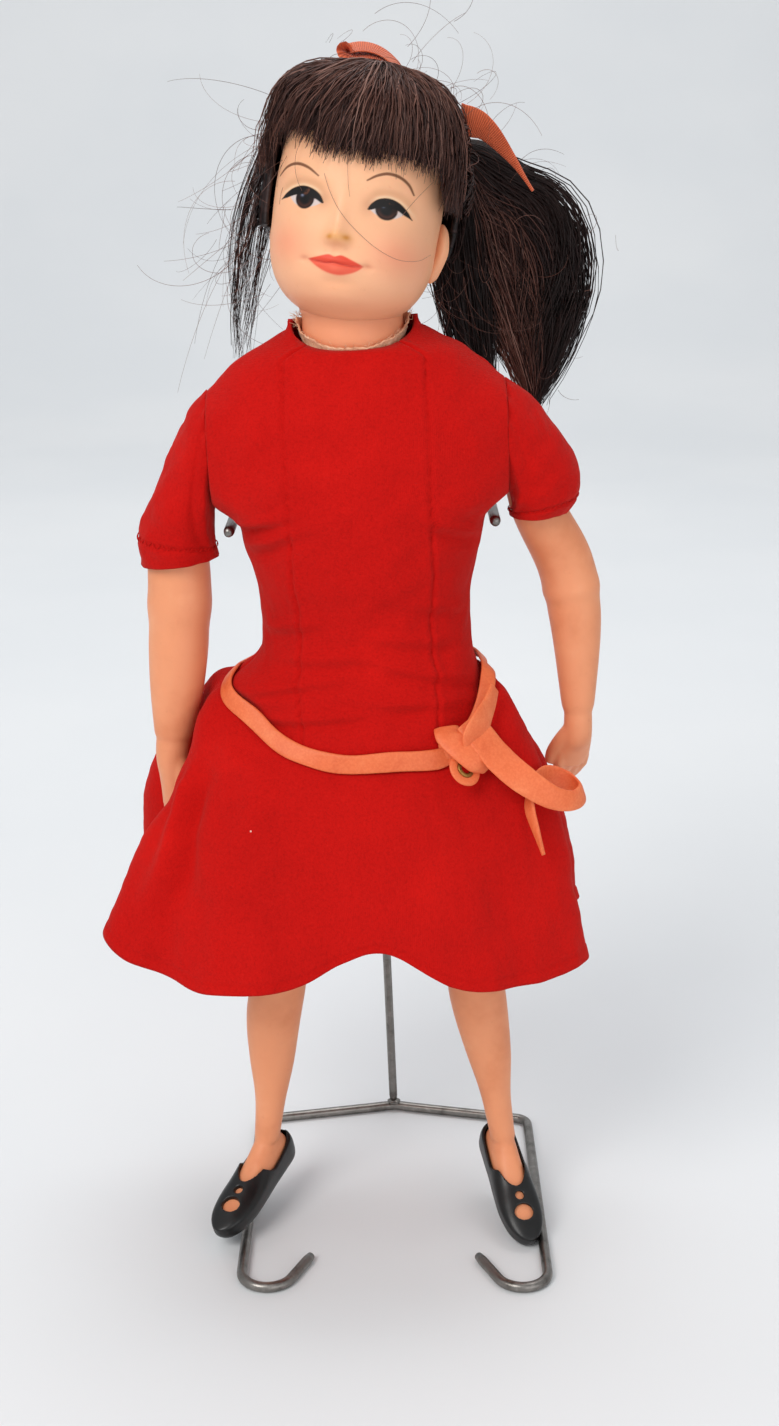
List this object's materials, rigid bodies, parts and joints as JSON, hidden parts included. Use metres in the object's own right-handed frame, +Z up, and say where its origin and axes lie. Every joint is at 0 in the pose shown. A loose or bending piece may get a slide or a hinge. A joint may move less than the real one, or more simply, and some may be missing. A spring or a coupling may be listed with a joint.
{
  "type": "fashion doll on a wire stand",
  "caption": "Jointed fashion doll in a short-sleeved flared dress with a tied belt, ponytail and flat shoes, held under the arms by a bent wire stand.",
  "frame": {"origin": "on the floor, under the middle of the stand's crossbar, where the upright rod stands", "axes": "+Z up; the doll faces -Y; +X is towards the doll's left hand"},
  "size_m": [0.1285, 0.1007, 0.3154],
  "materials": {
    "skin_vinyl": "satin, painted face",
    "body_plastic": "satin",
    "hair": "glossy rooted fibre",
    "dress": "brushed cotton",
    "lining": "raw cut edge",
    "belt_leather": "soft, matt",
    "ribbon": "ribbed weave",
    "eyelet_brass": "dulled",
    "shoe_vinyl": "satin soft vinyl",
    "stand_steel": "drawn grey wire"
  },
  "bodies": {
    "torso": {"torso_front": "body_plastic", "torso_back": "body_plastic", "neck_post": "body_plastic", "neck_facing": "lining", "bodice_front": "dress", "bodice_side_front_right": "dress", "bodice_side_front_left": "dress", "bodice_back_right": "dress", "bodice_back_left": "dress", "skirt_front": "dress", "skirt_back_left": "dress", "skirt_back_right": "dress", "belt_strap": "belt_leather", "belt_knot": "belt_leather", "belt_tail": "belt_leather", "belt_eyelet": "eyelet_brass"},
    "head": {"head": "skin_vinyl", "hair_cap": "hair", "bangs": "hair", "ponytail": "hair", "side_lock": "hair", "ribbon_wrap": "ribbon", "ribbon_knot": "ribbon", "ribbon_loop": "ribbon", "ribbon_tail": "ribbon"},
    "arm_right": {"arm_right": "skin_vinyl", "sleeve_right": "dress"},
    "arm_left": {"arm_left": "skin_vinyl", "sleeve_left": "dress"},
    "leg_right": {"leg_right": "skin_vinyl", "shoe_right": "shoe_vinyl"},
    "leg_left": {"leg_left": "skin_vinyl", "shoe_left": "shoe_vinyl"},
    "stand": {"base_wire": "stand_steel", "upright_rod": "stand_steel", "fork_wire": "stand_steel"}
  },
  "joints": [
    {"name": "neck_turn", "type": "hinge", "parent": "torso", "child": "head", "pos_m": [-0.01011, -0.055, 0.24129], "axis": [-0.0419, 0, 0.9991], "continuous": true, "deforming": ["ponytail", "side_lock", "ribbon_loop", "ribbon_tail", "bodice_front", "bodice_side_front_right", "bodice_side_front_left", "bodice_back_right", "bodice_back_left", "neck_facing"]},
    {"name": "shoulder_right", "type": "hinge", "parent": "torso", "child": "arm_right", "pos_m": [-0.04557, -0.055, 0.22029], "axis": [0.9991, 0, 0.0419], "continuous": true, "deforming": ["skirt_front", "skirt_back_left", "skirt_back_right"]},
    {"name": "shoulder_left", "type": "hinge", "parent": "torso", "child": "arm_left", "pos_m": [0.02697, -0.055, 0.22332], "axis": [0.9991, 0, 0.0419], "continuous": true, "deforming": ["skirt_front", "skirt_back_left", "skirt_back_right", "belt_tail"]},
    {"name": "hip_right", "type": "hinge", "parent": "torso", "child": "leg_right", "pos_m": [-0.02127, -0.055, 0.14924], "axis": [-0.9991, 0, -0.0419], "range_deg": [-20, 90], "deforming": ["skirt_front", "skirt_back_left", "skirt_back_right", "belt_strap", "belt_knot", "belt_tail", "belt_eyelet"]},
    {"name": "hip_left", "type": "hinge", "parent": "torso", "child": "leg_left", "pos_m": [0.0087, -0.055, 0.1505], "axis": [-0.9991, 0, -0.0419], "range_deg": [-20, 90], "deforming": ["skirt_front", "skirt_back_left", "skirt_back_right", "belt_strap", "belt_knot", "belt_tail", "belt_eyelet"]},
    {"name": "stand_slide", "type": "slide", "parent": "torso", "child": "stand", "axis": [0, 1, 0], "range_m": [0, 0.08]}
  ]
}
